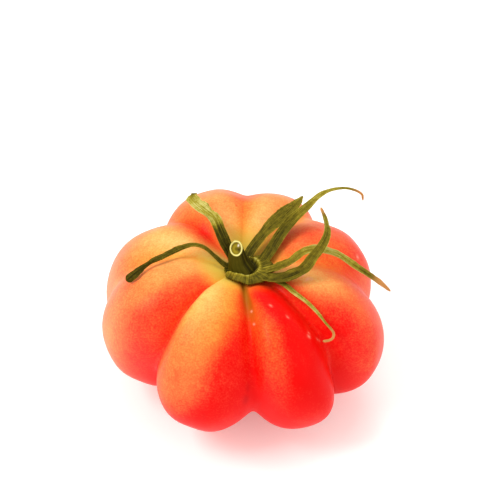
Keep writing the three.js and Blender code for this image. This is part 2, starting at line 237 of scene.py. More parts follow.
# Ripeness runs from 0, greenish yellow, to 1, deep red. Each lobe has its own on the crest, and each
# groove has its own in the valley, both high on the shoulder and down the side. Each patch then adds
# its change about a place, leaning sideways as it goes down.
RIPENESS = np.array(
    [  # crest high and low, then the groove that the lobe starts from, high and low
        (0.90, 0.90, 0.76, 0.98),  # front right
        (0.24, 0.73, 0.94, 0.90),  # right
        (0.68, 0.76, 0.50, 0.62),  # back right
        (0.34, 0.66, 0.36, 0.60),  # back
        (0.35, 0.60, 0.60, 0.68),  # back left
        (0.20, 0.58, 0.84, 0.52),  # left back
        (0.30, 0.50, 0.34, 0.42),  # left
        (0.24, 0.54, 0.80, 0.80),  # front left
    ]
)
PATCHES = [  # azimuth, t, half width, half height, lean in degrees per t, change
    (-106, 0.17, 7, 0.07, 0, 0.10),  # orange beside the front left lobe's pale crest
    (-126, 0.15, 5, 0.07, 0, 0.08),  # and on its other side
    (-99, 0.33, 6, 0.08, -40, 0.14),  # edge of the red on its right flank
    (-95, 0.38, 9, 0.25, -40, 0.34),  # the red right flank itself
    (-106, 0.62, 14, 0.12, 0, 0.34),  # its red foot
    (-78, 0.16, 6, 0.03, 0, -0.10),  # paler top of the front right lobe's crest
    (-74, 0.28, 5, 0.14, 0, -0.10),  # orange streak below it
    (-68, 0.12, 12, 0.06, 0, 0.14),  # deep red under the calyx
    (-60, 0.28, 9, 0.25, 0, 0.22),  # red band of the front right lobe
    (-34, 0.26, 8, 0.10, 0, 0.25),  # left flank of the right lobe
    (-25, 0.45, 12, 0.12, 0, 0.06),  # its side
    (-5, 0.33, 14, 0.12, 0, 0.12),  # its right flank
    (38, 0.16, 10, 0.06, 0, -0.15),  # groove behind the right sepals
    (145, 0.09, 20, 0.06, 0, 0.30),  # orange beside the groove that the left back lobe starts from
    (-176, 0.36, 20, 0.16, 0, 0.10),  # side of the left lobe
    (-138, 0.20, 7, 0.08, 0, 0.12),  # deep orange at the foot of its shoulder
    (-143, 0.28, 8, 0.30, 0, 0.20),  # its right flank
    (-130, 0.07, 12, 0.03, 0, -0.25),  # yellow where the front left lobe's groove leaves the stalk
]
SHOULDER_TO_SIDE, SIDE_TO_FOOT = (0.12, 0.38), (0.4, 0.75)  # stretches of t
FOOT_RIPENING, PALEST = 0.3, 0.03


def patch(middle, height, half_width, half_height, lean=0.0):
    """1 at a place of the skin's grid, falling off as a Gaussian of its half width in degrees and its
    half height in t. Its middle line moves by lean degrees for each unit of t on the way down."""
    drop = t - height
    return near(azimuth - lean * drop, middle, half_width) * np.exp(-((drop / half_height) ** 2))


valley, crowd, weight = pull(azimuth, t)
crest_high, crest_low, groove_high, groove_low = RIPENESS.T
down = smooth(t, *SHOULDER_TO_SIDE)
on_crest = weight @ crest_high * (1 - down) + weight @ crest_low * down
in_groove = crowd @ groove_high * (1 - down) + crowd @ groove_low * down
ripeness = on_crest + (in_groove - on_crest) * valley + FOOT_RIPENING * smooth(t, *SIDE_TO_FOOT)
for middle, height, half_width, half_height, lean, change in PATCHES:
    ripeness += change * patch(middle, height, half_width, half_height, lean)
ripeness = np.clip(ripeness, PALEST, 1)

# The skin is painted most vivid on the front shoulders and in the upper grooves, where the deeper colour
# is painted shade and red light bounced between the lobes; elsewhere it is hazier, a painted sheen, and
# the pale crest in front has a painted highlight.
FRONT_SHOULDERS = (-95, 42)  # azimuth and half width
PALE_CREST = (-113, 0.19, 11, 0.12)  # azimuth, t, half width and half height
HAZE_SETS_IN, PALE_CREST_HAZE = (0.2, 0.42), 0.7
vivid = np.maximum(valley, near(azimuth, *FRONT_SHOULDERS)) * (1 - smooth(t, *HAZE_SETS_IN))
vivid *= 1 - PALE_CREST_HAZE * patch(*PALE_CREST)

# It stays green where it is last to ripen, round the stalk, but less so on two sides of it.
GREEN_EDGE = (0.045, 0.12)
RIPER_SIDES = [(-35, 50, 0.85), (140, 24, 0.75)]  # azimuth, half width, share of the green that went
green = 1 - smooth(t, *GREEN_EDGE)
for middle, half_width, share in RIPER_SIDES:
    green *= 1 - share * near(azimuth, middle, half_width)

# It is brown on the blossom's ragged scar, and where the front groove leaves the stalk: olive there,
# deepened by painted crease shade.
FRONT_GROOVE, GROOVE_LEAN = (-84, 4.0), 30  # azimuth and half width, then degrees per t
GROOVE_FADES, SCAR_EDGE, SCAR_STRENGTH = (0.1, 0.27), (0.964, 0.984), 0.8
SCAR_WAVES = [(5, 40, 0.006), (13, 0, 0.004)]  # waves round its edge, phase in degrees, size in t
# painted shade in the front crease, over the skin's own olive
brown = near(azimuth - GROOVE_LEAN * (t - GROOVE_FADES[0]), *FRONT_GROOVE)
brown *= 1 - smooth(t, *GROOVE_FADES)
ragged = sum(size * np.sin(np.radians(count * azimuth + phase)) for count, phase, size in SCAR_WAVES)
brown = np.maximum(brown, SCAR_STRENGTH * smooth(t + ragged, *SCAR_EDGE))

# The flanks turned sideways carry a thin pale painted sheen, the white surround's reflection at the rim.
BLOOMING = [(-178, 30, 1.0), (-4, 22, 0.6)]  # azimuth, half width, strength
BLOOM_SETS_IN, BLOOM_FADES = (0.25, 0.45), (0.6, 0.75)
bloom = sum(strength * near(azimuth, middle, half_width) for middle, half_width, strength in BLOOMING)
bloom *= smooth(t, *BLOOM_SETS_IN) * (1 - smooth(t, *BLOOM_FADES))

# Small marks on the skin: pale flecks, such as a dried drop leaves, painted glints, and red bruises.
MARKS = [  # azimuth, t, half width, half height, and how pale, or how bruised below 0
    (-81.6, 0.161, 0.7, 0.003, 0.9),
    (-80.9, 0.201, 0.6, 0.003, 0.8),
    (-53.5, 0.271, 0.8, 0.005, 0.7),
    (-52.0, 0.262, 0.5, 0.004, 0.6),
    (-47.5, 0.291, 0.6, 0.005, 0.6),
    (-45.8, 0.300, 0.5, 0.004, 0.5),
    # painted highlight: three short glints along the right lobe's crest
    (-24.0, 0.141, 2.4, 0.003, 0.9),
    (-26.5, 0.155, 2.4, 0.003, 0.8),
    (-25.1, 0.163, 1.6, 0.003, 0.7),
    (-67.0, 0.162, 0.9, 0.004, 0.6),
    (-60.5, 0.205, 0.7, 0.004, 0.5),
    (13.5, 0.332, 0.9, 0.006, 0.7),
    (-68.1, 0.131, 1.6, 0.006, -0.5),
    (-69.5, 0.147, 1.0, 0.005, -0.4),
    (-86.4, 0.430, 1.0, 0.030, -0.5),
    (-87.2, 0.490, 1.6, 0.030, -0.7),
    (93.6, 0.156, 0.7, 0.005, -0.7),
    (-104.0, 0.520, 0.9, 0.020, -0.25),
]
fleck = np.zeros_like(t)
bruise = np.zeros_like(t)
for *place, strength in MARKS:
    fleck = np.maximum(fleck, strength * patch(*place))
    bruise = np.maximum(bruise, -strength * patch(*place))
fruit = closed_skin(
    "fruit_skin",
    skin_grid,
    skin_point(np.array(0.0), np.array(0.0)),
    skin_point(np.array(0.0), np.array(1.0)),
    ripeness=ripeness,
    green=green,
    vivid=vivid,
    brown=brown,
    fleck=fleck,
    bruise=bruise,
    bloom=bloom,
)


def rgb(code):
    """Linear colour with alpha from a display colour such as '#ff8a48'."""
    value = np.array([int(code[i : i + 2], 16) for i in (1, 3, 5)]) / 255
    linear = np.where(value <= 0.04045, value / 12.92, ((value + 0.055) / 1.055) ** 2.4)
    return (*linear, 1.0)


def new_material(name):
    """A material with its node tree's Principled BSDF."""
    material = bpy.data.materials.new(name)
    material.use_nodes = True
    return material, material.node_tree, material.node_tree.nodes["Principled BSDF"]


def ramp_node(tree, value, stops):
    """A value's colour on a ramp of (position, display colour) stops."""
    node = tree.nodes.new("ShaderNodeValToRGB")
    elements = node.color_ramp.elements
    while len(elements) < len(stops):
        elements.new(0.5)
    for element, (position, colour) in zip(elements, stops):
        element.position = position
        element.color = rgb(colour)
    tree.links.new(value, node.inputs["Fac"])
    return node.outputs["Color"]


def mix_colour(tree, factor, first, second, blend="MIX"):
    """A colour mix by a factor's socket. Either colour is a socket or a display colour."""
    node = tree.nodes.new("ShaderNodeMix")
    node.data_type = "RGBA"
    node.blend_type = blend
    node.clamp_result = True
    for name, value in (("Factor", factor), ("A", first), ("B", second)):
        kind = "VALUE" if name == "Factor" else "RGBA"
        socket = next(s for s in node.inputs if s.name == name and s.type == kind)
        if isinstance(value, str):
            socket.default_value = rgb(value)
        else:
            tree.links.new(value, socket)
    return next(s for s in node.outputs if s.type == "RGBA")


def noise_node(tree, vector, scale, detail, roughness):
    """The value of a noise texture over a vector, with a scale in waves to the vector's unit."""
    node = tree.nodes.new("ShaderNodeTexNoise")
    node.inputs["Scale"].default_value = scale
    node.inputs["Detail"].default_value = detail
    node.inputs["Roughness"].default_value = roughness
    tree.links.new(vector, node.inputs["Vector"])
    return node.outputs["Fac"]


def range_node(tree, value, source, target):
    """A value carried from a source range to a target range, each (low, high), and clamped."""
    node = tree.nodes.new("ShaderNodeMapRange")
    tree.links.new(value, node.inputs["Value"])
    for name, number in zip(("From Min", "From Max", "To Min", "To Max"), (*source, *target)):
        node.inputs[name].default_value = number
    return node.outputs["Result"]


def sum_node(tree, first, second, operation="ADD"):
    """A sum, or another operation, of a socket and a second socket or number."""
    node = tree.nodes.new("ShaderNodeMath")
    node.operation = operation
    tree.links.new(first, node.inputs[0])
    if isinstance(second, bpy.types.NodeSocket):
        tree.links.new(second, node.inputs[1])
    else:
        node.inputs[1].default_value = second
    return node.outputs["Value"]


def field(tree, name):
    """A point attribute's value."""
    node = tree.nodes.new("ShaderNodeAttribute")
    node.attribute_name = name
    return node.outputs["Fac"]


def roughen(tree, shader, height, strength, distance):
    """Bump of a height's socket, over a distance in metres, on the shader's normal."""
    bump = tree.nodes.new("ShaderNodeBump")
    bump.inputs["Strength"].default_value = strength
    bump.inputs["Distance"].default_value = distance
    tree.links.new(height, bump.inputs["Height"])
    tree.links.new(bump.outputs["Normal"], shader.inputs["Normal"])


# Clouds about 2 cm wide, mottling of about 1.5 mm and grain of about 0.6 mm vary the ripeness.
CLOUDS, MOTTLE, GRAIN = 0.12, 0.035, 0.07  # changes of ripeness
skin, tree, shader = new_material("tomato_skin")
place = tree.nodes.new("ShaderNodeTexCoord").outputs["Object"]
cloud = range_node(tree, noise_node(tree, place, 55, 4, 0.55), (0.25, 0.75), (-CLOUDS, CLOUDS))
mottle = range_node(tree, noise_node(tree, place, 620, 2, 0.6), (0.3, 0.7), (-MOTTLE, MOTTLE))
grain = range_node(tree, noise_node(tree, place, 1700, 1, 0.6), (0.3, 0.7), (-GRAIN, GRAIN))
ripe = sum_node(tree, field(tree, "ripeness"), cloud)
ripe = sum_node(tree, ripe, sum_node(tree, grain, mottle))
colour = ramp_node(
    tree,
    ripe,
    [
        (0.0, "#e6c67a"),
        (0.15, "#ecba6e"),
        (0.30, "#eea45a"),
        (0.45, "#ee8746"),
        (0.60, "#ec6a37"),
        (0.75, "#ea4a29"),
        (0.88, "#ea281a"),
        (1.0, "#e60604"),
    ],
)
# Painted shade and sheen: the colour is deepened where this mask is high, and stays paler, a painted
# sheen, where it is low.
colour = mix_colour(tree, field(tree, "vivid"), colour, "#fff6a8", "MULTIPLY")
cloudy = range_node(tree, cloud, (-CLOUDS, CLOUDS), (0.7, 1.1))
colour = mix_colour(tree, sum_node(tree, field(tree, "green"), cloudy, "MULTIPLY"), colour, "#cdb03c")
# Tints: brown, partly painted shade in the front crease and partly the blossom scar; a pale painted
# reflection on the flanks' rims; red bruises; and pale flecks, some of them painted glints.
for name, strength, tint in [
    ("brown", 0.9, "#96600f"),
    ("bloom", 0.2, "#ffc3b4"),
    ("bruise", 1.0, "#cc0a10"),
    ("fleck", 1.0, "#f6a88c"),
]:
    share = sum_node(tree, field(tree, name), strength, "MULTIPLY")
    colour = mix_colour(tree, share, colour, tint)
tree.links.new(colour, shader.inputs["Base Color"])

# The low IOR keeps the reflected white surround from paling the red.
shader.inputs["Roughness"].default_value = 0.36
shader.inputs["IOR"].default_value = 1.15
shader.inputs["Subsurface Weight"].default_value = 0.1
shader.inputs["Subsurface Radius"].default_value = (1.0, 0.35, 0.2)
shader.inputs["Subsurface Scale"].default_value = 0.003
roughen(tree, shader, noise_node(tree, place, 1400, 2, 0.5), 0.15, 0.0002)
fruit.data.materials.append(skin)
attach(fruit, "root")
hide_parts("fruit")

# The ring of the calyx: the thick green collar that the sepals and the stalk grow from, sunk in the
# cavity. It is leathery and dull, with a raised lip round the stalk's foot, and its underside follows
# the skin.

CLEARANCE = 0.35  # between pieces that touch
RING_CENTRE, RING_RADIUS = np.array([2.9, -4.3]), 8.3
RING_THICKNESS, RING_EDGE, RIM_POWER = 1.7, 0.5, 10
SEAT_HEIGHT, SEAT_RADIUS, SEAT_SLOPE, SEAT_FLOOR = 49.9, 4.9, 1.3, 0.3
STALK_FOOT = np.array([0.3, -3.2])
LIP_HEIGHT, LIP_RADIUS, LIP_WIDTH = 0.5, 6.2, 0.7
LIP_FRONT, LIP_FRONT_RISE = (-135, 50), 1.2  # where the lip stands higher, and by how much
SCALLOPS = [(7, 0.6, 0.035), (12, 2.0, 0.02)]  # waves round the rim, phase, share of the radius
RIPPLES = [(23, 5, 0.06), (41, 0, 0.03)]  # waves round the top, twist from middle to rim, height
RIPPLES_START = (0.4, 0.8)


def cavity_height(x, y):
    """The height of the crest surface at a place near the stalk, measured from the stalk's axis. The
    skin is never above it."""
    azimuth = np.degrees(np.arctan2(y, x))
    _, _, reach, rise, sag = ribbing(azimuth, 0 * azimuth)
    sine = (np.hypot(x, y) / reach) ** (1 / REACH_POWER)
    return ridge_height(sine, np.sqrt(1 - sine**2), rise, sag) + EQUATOR_HEIGHT


def hump(distance, middle, width):
    """1 in the middle, falling off to both sides by exp(-(offset / width) ** 2)."""
    return np.exp(-(((distance - middle) / width) ** 2))


def ring_point(share, around, side):
    """A point of the collar, share of its radius from its middle. Its underside keeps a clearance
    over the cavity, and its top steps up from the stalk's seat to the lip, then thins to the rim."""
    reach = RING_RADIUS * share
    reach = reach * (1 + sum(size * np.sin(count * around + phase) for count, phase, size in SCALLOPS))
    x = RING_CENTRE[0] + reach * np.cos(around)
    y = RING_CENTRE[1] + reach * np.sin(around)
    under = cavity_height(x, y) + CLEARANCE
    ripple = sum(size * np.sin(count * around + twist * share) for count, twist, size in RIPPLES)
    crown = under + RING_THICKNESS + ripple * smooth(share, *RIPPLES_START)
    from_stalk = np.hypot(x - STALK_FOOT[0], y - STALK_FOOT[1])
    facing = np.degrees(np.arctan2(y - STALK_FOOT[1], x - STALK_FOOT[0]))
    lift = LIP_HEIGHT + LIP_FRONT_RISE * near(facing, *LIP_FRONT)
    crown = crown + lift * hump(from_stalk, LIP_RADIUS, LIP_WIDTH)
    up_the_step = smooth(from_stalk, SEAT_RADIUS, SEAT_RADIUS + SEAT_SLOPE)
    top = np.maximum(under + SEAT_FLOOR, SEAT_HEIGHT + (crown - SEAT_HEIGHT) * up_the_step)
    top = top + (under + RING_EDGE - top) * share**RIM_POWER
    return np.stack([STEM_AXIS[0] + x, STEM_AXIS[1] + y, np.where(side > 0, top, under)], -1)


# Rows run out over the top, closer together round the rim, and back in along the underside.
RING_SIDES, TOP_ROWS, RIM_ROWS, RIM_START = 160, 40, 12, 0.9
rounding = np.sin(np.linspace(0.1, 1, RIM_ROWS) * np.pi / 2)
outwards = np.concatenate([np.linspace(0.04, RIM_START, TOP_ROWS), RIM_START + (1 - RIM_START) * rounding])
sides = np.repeat([1.0, -1.0], len(outwards))
shares = np.concatenate([outwards, outwards[::-1]])
around, share = np.meshgrid(np.arange(RING_SIDES) * 2 * np.pi / RING_SIDES, shares)
ring_grid = ring_point(share, around, sides[:, None])
from_stalk = np.hypot(*np.moveaxis(ring_grid[..., :2] - STEM_AXIS - STALK_FOOT, -1, 0))
# painted light: a highlight along the lip, and shade in the crevice round the stalk's seat
paler_lip = 0.4 * hump(from_stalk, LIP_RADIUS, LIP_WIDTH)
darker_seat = 0.35 * hump(from_stalk, SEAT_RADIUS, LIP_WIDTH)
ring = closed_skin(
    "calyx_ring",
    ring_grid,
    ring_point(np.array(0.0), np.array(0.0), np.array(1.0)),
    ring_point(np.array(0.0), np.array(0.0), np.array(-1.0)),
    tone=0.3 + paler_lip - darker_seat,
    length=0.5 * share,
    across=0.6 * np.sin(4 * around),
    dry=0 * share,
)

# The grain that all the green parts share: fine streaks along the growth, and small blotches.
STREAKS_ACROSS, STREAKS_ALONG = 5.0, 0.7
grain_group = bpy.data.node_groups.new("plant grain", "ShaderNodeTree")
for name, kind, way in [
    ("Vector", "NodeSocketVector", "INPUT"),
    ("Length", "NodeSocketFloat", "INPUT"),
    ("Across", "NodeSocketFloat", "INPUT"),
    ("Streaks", "NodeSocketFloat", "OUTPUT"),
    ("Blotches", "NodeSocketFloat", "OUTPUT"),
]:
    grain_group.interface.new_socket(name, in_out=way, socket_type=kind)
inside = grain_group.nodes.new("NodeGroupInput")
outside = grain_group.nodes.new("NodeGroupOutput")
stretch = grain_group.nodes.new("ShaderNodeCombineXYZ")
across = sum_node(grain_group, inside.outputs["Across"], STREAKS_ACROSS, "MULTIPLY")
along = sum_node(grain_group, inside.outputs["Length"], STREAKS_ALONG, "MULTIPLY")
grain_group.links.new(across, stretch.inputs["X"])
grain_group.links.new(along, stretch.inputs["Y"])
streaks = noise_node(grain_group, stretch.outputs["Vector"], 1.6, 4, 0.6)
blotches = noise_node(grain_group, inside.outputs["Vector"], 650, 3, 0.7)
grain_group.links.new(streaks, outside.inputs["Streaks"])
grain_group.links.new(blotches, outside.inputs["Blotches"])


def plant_grain(tree):
    """The grain's group node in a material, fed with Object coordinates and the piece's own fields."""
    node = tree.nodes.new("ShaderNodeGroup")
    node.node_tree = grain_group
    tree.links.new(tree.nodes.new("ShaderNodeTexCoord").outputs["Object"], node.inputs["Vector"])
    tree.links.new(field(tree, "length"), node.inputs["Length"])
    tree.links.new(field(tree, "across"), node.inputs["Across"])
    return node.outputs["Streaks"], node.outputs["Blotches"]


leaf, tree, shader = new_material("calyx_green")
streaks, blotches = plant_grain(tree)
tone = sum_node(tree, field(tree, "tone"), range_node(tree, streaks, (0.32, 0.68), (-0.32, 0.32)))
tone = sum_node(tree, tone, range_node(tree, blotches, (0.3, 0.7), (-0.13, 0.13)))
greens = ramp_node(
    tree,
    tone,
    [
        (0.0, "#2c2703"),
        (0.2, "#4a4209"),
        (0.4, "#655a12"),
        (0.6, "#85751d"),
        (0.8, "#a69830"),
        (1.0, "#c3b96c"),
    ],
)
tree.links.new(mix_colour(tree, field(tree, "dry"), greens, "#c98a4c"), shader.inputs["Base Color"])
shader.inputs["Roughness"].default_value = 0.6
shader.inputs["IOR"].default_value = 1.15
roughen(tree, shader, streaks, 0.5, 0.0003)
ring.data.materials.append(leaf)
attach(ring, "root")
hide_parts("calyx")

# The seven sepals: narrow leathery blades that grow out of the collar, each bent into a channel along
# its midrib, with veins along it and edges that crinkled as they dried. Some tips are withered and
# brown.

# A sepal's midrib passes through its points, measured from the stem axis and up from the base. Its
# widths, rolls and tones stand at even steps from the root to the tip. Its roll turns the blade about
# the midrib, its cup is how far the edges stand above the midrib, as a share of the width, and its
# crinkle, near the root and near the tip, is the edges' wave as a share of the half width.
SEPALS = [
    dict(
        name="sepal_left",
        points=[
            (-3, -1, 49.4),
            (-5, -2, 50.2),
            (-8.5, 0, 52.5),
            (-12, 1.5, 55),
            (-16, 1.5, 56.3),
            (-20.5, -0.5, 56.2),
            (-25.5, -3.5, 55.7),
            (-30.5, -6, 54.5),
            (-34.5, -8.5, 52.5),
            (-37.5, -10, 50.3),
        ],
        widths=[2.4, 1.6, 1.3, 1.4, 1.8, 2.1, 1.9, 1.6, 2.4, 3.2],
        thickness=1.0,
        rolls=[-20, -30, -50],
        cup=0.12,
        crinkle=(0.03, 0.09),
        tones=[0.15, 0.25, 0.45, 0.35, 0.25, 0.15, 0.15],
        withered_from=None,
    ),
    dict(
        name="sepal_upper_left",
        points=[
            (-1.5, 1, 48.8),
            (-3, 2, 50.2),
            (-5, 4, 54),
            (-7, 7.5, 57.4),
            (-9, 11, 59.8),
            (-12, 13.5, 61),
            (-15, 17, 61.3),
            (-16.5, 21, 61),
            (-15.5, 23.5, 60.6),
        ],
        widths=[3.8, 4.0, 4.1, 3.9, 4.3, 4.5, 4.2, 2.6],
        thickness=1.1,
        rolls=[0, -5, -20],
        cup=0.18,
        crinkle=(0.015, 0.1),
        tones=[0.12, 0.12, 0.12, 0.15, 0.78, 0.82, 0.92, 0.75, 0.35],
        withered_from=None,
    ),
    dict(
        name="sepal_upper_right",
        points=[
            (1.5, 0.5, 48.8),
            (2.2, 2.4, 49.8),
            (5.2, 5.8, 52.8),
            (10, 10.2, 56.2),
            (15.2, 14, 58.5),
            (18.6, 18, 59.5),
            (21.5, 23.5, 59.5),
        ],
        widths=[3.6, 3.6, 3.6, 5.2, 6.4, 3.6, 1.0],
        thickness=0.9,
        rolls=[10, 5, 0],
        cup=0.2,
        crinkle=(0.01, 0.02),
        tones=[0.15, 0.25, 0.34, 0.38, 0.42, 0.6],
        withered_from=None,
    ),
    dict(
        name="sepal_long_upper_right",
        points=[
            (5, -2, 48.9),
            (7, -0.9, 49.8),
            (10.4, 3, 52.3),
            (13.9, 7.3, 56),
            (17.5, 11, 58.8),
            (22, 15, 60.8),
            (26.5, 20, 62),
            (30.5, 23, 62.3),
            (35.5, 25, 61.8),
            (39.5, 25.5, 60.5),
            (42, 25, 59),
            (42.5, 24, 57),
        ],
        widths=[4.4, 4.0, 4.0, 3.8, 3.0, 2.0, 1.2, 0.9, 0.9],
        thickness=0.9,
        rolls=[0, 15, 35],
        cup=0.22,
        crinkle=(0.01, 0.02),
        tones=[0.35, 0.25, 0.28, 0.55, 0.75, 0.6, 0.4],
        withered_from=0.9,
    ),
    dict(
        name="sepal_hooked",
        points=[
            (5, -7, 50.4),
            (8, -9.5, 51.2),
            (12.5, -10.5, 51.6),
            (16.5, -11.5, 53.6),
            (20.5, -11.5, 56.5),
            (23.5, -9, 59.3),
            (26.5, -5.5, 61.5),
            (28.5, 0, 62.7),
            (28, 7, 63.5),
            (27, 12.5, 63.5),
        ],
        widths=[3.4, 4.2, 4.6, 3.8, 3.1, 2.7, 1.9, 1.0],
        thickness=0.9,
        rolls=[0, 20, 40],
        cup=0.22,
        crinkle=(0.02, 0.03),
        tones=[0.32, 0.26, 0.3, 0.42, 0.45, 0.6, 0.4],
        withered_from=0.92,
    ),
    dict(
        name="sepal_long_right",
        points=[
            (4.5, -5.5, 49.6),
            (7, -6, 50.6),
            (11.5, -6.5, 52.6),
            (16.5, -6.5, 55.5),
            (20.5, -4.5, 57.8),
            (25, -3.5, 58.3),
            (31.5, -3.5, 56.5),
            (38, -4.5, 52),
            (45, -5.5, 47),
            (50.5, -6.5, 42.5),
        ],
        widths=[3.4, 3.3, 3.1, 3.2, 2.8, 2.6, 2.3, 1.0],
        thickness=0.9,
        rolls=[0, 10, 20],
        cup=0.22,
        crinkle=(0.04, 0.03),
        tones=[0.3, 0.42, 0.6, 0.85, 0.7, 0.45, 0.45],
        withered_from=0.86,
    ),
    dict(
        name="sepal_thread",
        points=[
            (8.5, -8, 50.6),
            (10.5, -9.5, 51),
            (14.5, -13, 51.4),
            (18, -17, 51.2),
            (21.5, -20, 50.4),
            (25, -23, 48.4),
            (27.5, -25, 46),
            (30, -27, 43.7),
            (30, -28.5, 42.6),
            (28.5, -30, 42.8),
            (26.5, -31.5, 44),
        ],
        widths=[3.0, 2.4, 1.9, 1.6, 1.3, 0.9, 0.9, 0.9],
        thickness=0.9,
        rolls=[0, 0, 0],
        cup=0.12,
        crinkle=(0.02, 0.03),
        tones=[0.4, 0.5, 0.75, 0.8, 0.6, 0.7],
        withered_from=0.78,
    ),
]
SEPAL_RINGS, SEPAL_SIDES = 150, 40
TIP_ROUNDING, ROOT_ROUNDING, BLUNTNESS = 0.025, 0.02, 0.08  # shares of the length, and of the section
LEFT_WAVES, RIGHT_WAVES = (5, 9, 14, 23), (4, 8, 15, 21)  # waves along the two edges
CRINKLE_CHANGE = (0.35, 0.6)  # the stretch over which the crinkle changes
FLUTTER = 2.5  # how much more an edge waves up and down than in and out
THINNER_EDGE, VEIN_HEIGHT, VEINS = 0.45, 0.07, 3
PALER_EDGE, PALER_VEINS = 0.2, 0.05  # changes of tone
DARKER_MIDRIB, MIDRIB_WIDTH = 0.12, 0.14
WITHERING = 0.05  # half the stretch over which a tip turns brown
BLEND = 0.55  # how far a blended value reaches, in steps of its list
STREAK_OFFSET = 7.3  # between one sepal's streaks and the next one's


def along_curve(points, s):
    """Points at shares s of the length of a smooth curve through the given ones. Each stretch is the
    cubic whose end slopes are half the step between the neighbours on either side."""
    points = np.asarray(points, float)
    padded = np.concatenate([2 * points[:1] - points[1:2], points, 2 * points[-1:] - points[-2:-1]])
    fine = np.linspace(0, len(points) - 1, 60 * len(points))
    cell = np.minimum(fine.astype(int), len(points) - 2)
    u = (fine - cell)[:, None]
    a, b, c, d = (padded[cell + shift] for shift in range(4))
    bend, twist = 2 * a - 5 * b + 4 * c - d, 3 * b - a - 3 * c + d
    curve = 0.5 * (2 * b + (c - a) * u + bend * u**2 + twist * u**3)
    length = np.concatenate([[0], np.cumsum(np.linalg.norm(np.diff(curve, axis=0), axis=1))])
    return np.stack([np.interp(s * length[-1], length, column) for column in curve.T], -1)


def between(values, s):
    """A smooth blend of values that stand at equal shares of 0 to 1, each weighted by a Gaussian of
    its distance in steps."""
    stations = np.linspace(0, 1, len(values))
    kernel = np.exp(-(((s[:, None] - stations) * (len(values) - 1) / BLEND) ** 2))
    return kernel @ np.asarray(values, float) / kernel.sum(1)


def edge_wave(random, s, counts):
    """The sum of sines along an edge, each with a random phase and an amplitude of 1 over its place."""
    return sum(
        np.sin(2 * np.pi * (count * s + random.uniform())) / place
        for place, count in enumerate(counts, 1)
    )


def sepal_grid(sepal, s, x, y, random):
    """Rows of a sepal's points at the shares s of its length, and its midrib. The section is an oval
    whose place across is x times the half width and whose place above is y times half the thickness,
    less at the edges. The edges rise by the cup times x squared, each waves in and out in its own way,
    and both flutter up and down by turns. Veins stand out as a cosine across the blade. Each row is
    turned about the midrib by the roll."""
    midrib = along_curve(sepal["points"], s) + [*STEM_AXIS, 0]
    tangent = -np.gradient(midrib, axis=0)
    tangent /= np.linalg.norm(tangent, axis=1, keepdims=True)
    level = np.cross([0, 0, 1], tangent)
    level /= np.linalg.norm(level, axis=1, keepdims=True)
    upright = np.cross(tangent, level)
    roll = np.radians(between(sepal["rolls"], s))[:, None]
    across = level * np.cos(roll) + upright * np.sin(roll)
    above = upright * np.cos(roll) - level * np.sin(roll)

    rounding = np.clip((1 - s) / TIP_ROUNDING, 0, 1) * np.clip(s / ROOT_ROUNDING, 0, 1)
    taper = np.sqrt(rounding) * (1 - BLUNTNESS) + BLUNTNESS
    half = between(sepal["widths"], s) / 2 * taper
    near_root, near_tip = sepal["crinkle"]
    crinkle = near_root + (near_tip - near_root) * smooth(s, *CRINKLE_CHANGE)
    left_half = half * (1 + crinkle * edge_wave(random, s, LEFT_WAVES))
    wave = edge_wave(random, s, RIGHT_WAVES)
    right_half = half * (1 + crinkle * wave)
    width = np.where(x > 0, right_half[:, None], left_half[:, None]) * x

    cup = sepal["cup"] * 2 * half[:, None] * x**2
    flutter = (FLUTTER * crinkle * half * wave)[:, None] * x**2 * np.sign(x)
    body = (sepal["thickness"] / 2 * taper)[:, None] * y * (1 - THINNER_EDGE * x**2)
    veins = VEIN_HEIGHT * half[:, None] * np.cos(2 * np.pi * VEINS * x) * y
    rise = cup + flutter + body + veins
    return midrib[:, None] + across[:, None] * width[..., None] + above[:, None] * rise[..., None], midrib


s = np.linspace(1, 0, SEPAL_RINGS)
angle = np.arange(SEPAL_SIDES) * 2 * np.pi / SEPAL_SIDES
x, y = np.cos(angle), np.sin(angle)
tone_across = PALER_EDGE * x**8 - DARKER_MIDRIB * hump(x, 0, MIDRIB_WIDTH)
tone_across = tone_across + PALER_VEINS * np.cos(2 * np.pi * VEINS * x)
share = s[:, None] + 0 * x
for number, sepal in enumerate(SEPALS):
    grid, midrib = sepal_grid(sepal, s, x, y, np.random.default_rng(40 + number))
    centimetres = np.linalg.norm(np.diff(midrib, axis=0), axis=1).sum() / 10
    withered_from = sepal["withered_from"]
    dry = 0 * share
    if withered_from:
        dry = smooth(share, withered_from - WITHERING, withered_from + WITHERING)
    piece = closed_skin(
        sepal["name"],
        grid,
        midrib[0],
        midrib[-1],
        tone=between(sepal["tones"], s)[:, None] + tone_across,
        length=centimetres * share,
        across=2 * x + STREAK_OFFSET * number + 0 * share,
        dry=dry,
    )
    piece.data.materials.append(leaf)
    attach(piece, "root")
    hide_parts("calyx")

# The stem stub: the woody stalk, cut off short at a slant. Its cut end shows a pale ring of bark round
# darker, slightly sunk pith, and it widens and ridges towards the collar that it stands on.

